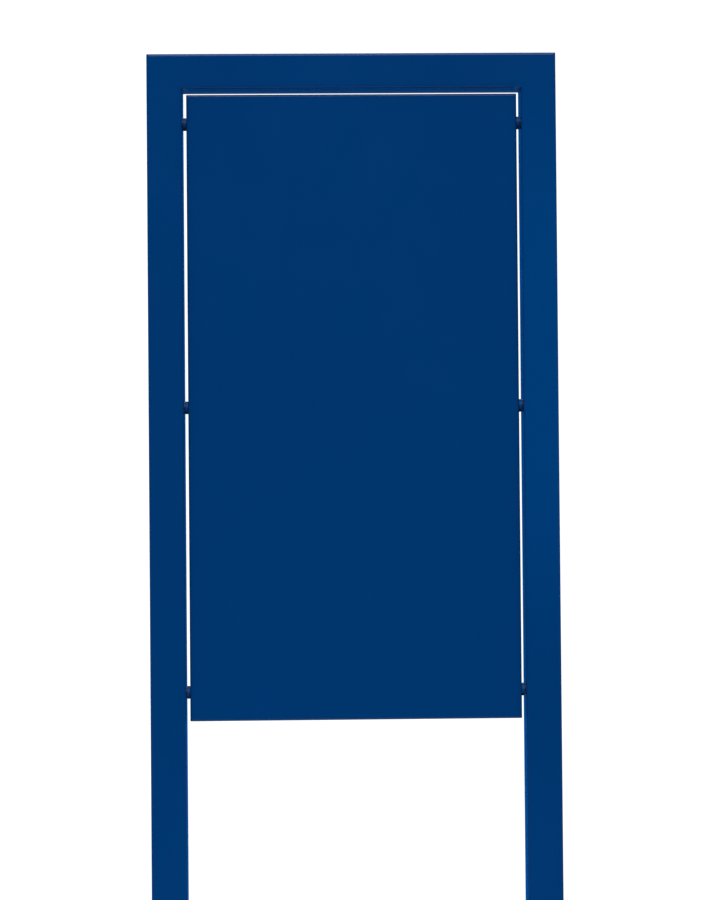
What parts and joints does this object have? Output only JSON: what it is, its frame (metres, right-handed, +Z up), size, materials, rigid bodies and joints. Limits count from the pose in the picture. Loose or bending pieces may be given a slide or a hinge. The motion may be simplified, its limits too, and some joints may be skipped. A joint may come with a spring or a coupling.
{
  "type": "post and panel sign",
  "caption": "Freestanding sign: a blank flat panel casing hung on spacers inside a square tube portal frame with drilled base plates.",
  "frame": {"origin": "on the ground, midway between the posts and at the middle of their depth; the undersides of the base plates lie at Z = 0", "axes": "+Z up, +X to the right of someone facing the sign, +Y away from them, so the panel's face looks along -Y"},
  "size_m": [0.78, 0.2, 2],
  "materials": {
    "blue_powder_coated_steel": "satin",
    "blue_powder_coated_aluminium": "satin",
    "mill_aluminium": "satin",
    "stainless_steel": "satin",
    "zinc_plated_steel": "satin",
    "black_nylon": "matte",
    "black_epdm_rubber": "matte",
    "grey_acrylic_foam_tape": "matte"
  },
  "bodies": {
    "root": {"bonding_tape": "grey_acrylic_foam_tape", "bottom_channel": "mill_aluminium", "cleat_rivets": "mill_aluminium", "clinch_nuts": "zinc_plated_steel", "corner_cleats": "mill_aluminium", "cover_screws": "stainless_steel", "flat_washers": "stainless_steel", "front_tray": "blue_powder_coated_aluminium", "header_rail": "blue_powder_coated_steel", "left_base_plate": "blue_powder_coated_steel", "left_base_weld": "blue_powder_coated_steel", "left_post": "blue_powder_coated_steel", "left_side_channel": "mill_aluminium", "lower_cross_rail": "mill_aluminium", "lower_left_spacer": "blue_powder_coated_steel", "lower_right_spacer": "blue_powder_coated_steel", "middle_left_spacer": "blue_powder_coated_steel", "middle_right_spacer": "blue_powder_coated_steel", "panel_bolts": "stainless_steel", "panel_isolators": "black_nylon", "post_isolators": "black_nylon", "rail_cleats": "mill_aluminium", "rear_cover": "blue_powder_coated_aluminium", "rear_gasket": "black_epdm_rubber", "right_base_plate": "blue_powder_coated_steel", "right_base_weld": "blue_powder_coated_steel", "right_post": "blue_powder_coated_steel", "right_side_channel": "mill_aluminium", "spring_washers": "stainless_steel", "threaded_bosses": "zinc_plated_steel", "top_channel": "mill_aluminium", "upper_cross_rail": "mill_aluminium", "upper_left_spacer": "blue_powder_coated_steel", "upper_right_spacer": "blue_powder_coated_steel"}
  },
  "joints": []
}
